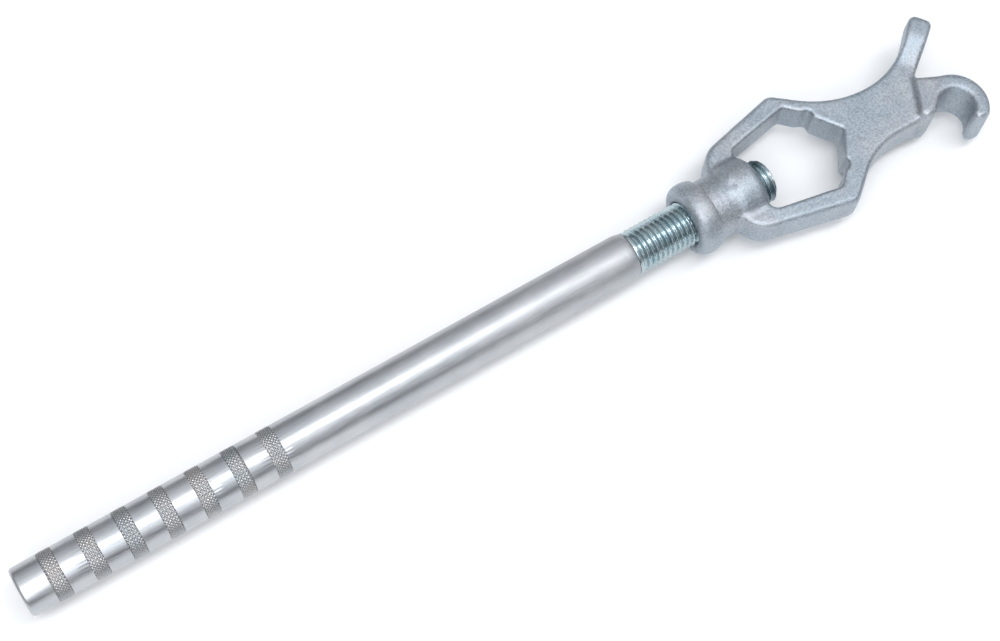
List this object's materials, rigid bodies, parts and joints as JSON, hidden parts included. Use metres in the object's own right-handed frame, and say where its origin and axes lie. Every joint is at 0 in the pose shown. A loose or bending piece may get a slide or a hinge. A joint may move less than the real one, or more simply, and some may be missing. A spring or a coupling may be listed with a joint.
{
  "type": "adjustable hydrant wrench",
  "caption": "Hydrant wrench with a cast jaw head, hook and horn, and a knurled tube handle that screws in to tighten on a five-sided nut.",
  "frame": {"origin": "deepest corner of the jaw, on the handle's own axis and in the middle plane of the flat head", "axes": "+X along the handle's axis from the grip end towards the hook, +Z square to the flat head on the side the horn bends to, +Y towards the horn"},
  "size_m": [0.5833, 0.0789, 0.0418],
  "materials": {
    "head_casting": "zinc-plated casting, satin, fine grain",
    "stud_steel": "zinc-plated machined thread, semi-gloss",
    "handle_steel": "bright zinc-plated tube, brushed, knurled bands"
  },
  "bodies": {
    "head": {"wrench_head": "head_casting"},
    "advance": {"stud_collar": "stud_steel"},
    "handle": {"handle_tube": "handle_steel", "threaded_stud": "stud_steel"}
  },
  "joints": [
    {"name": "handle_advance", "type": "slide", "parent": "head", "child": "advance", "axis": [1, 0, 0], "range_m": [-0.0287, 0.0287]},
    {"name": "handle_turn", "type": "hinge", "parent": "advance", "child": "handle", "pos_m": [-0.1, 0, 0], "axis": [1, 0, 0], "range_deg": [-3240, 3240]}
  ],
  "couplings": [
    {"joint": "handle_advance", "follows": "handle_turn", "m_per_rad": 0.00050532}
  ]
}
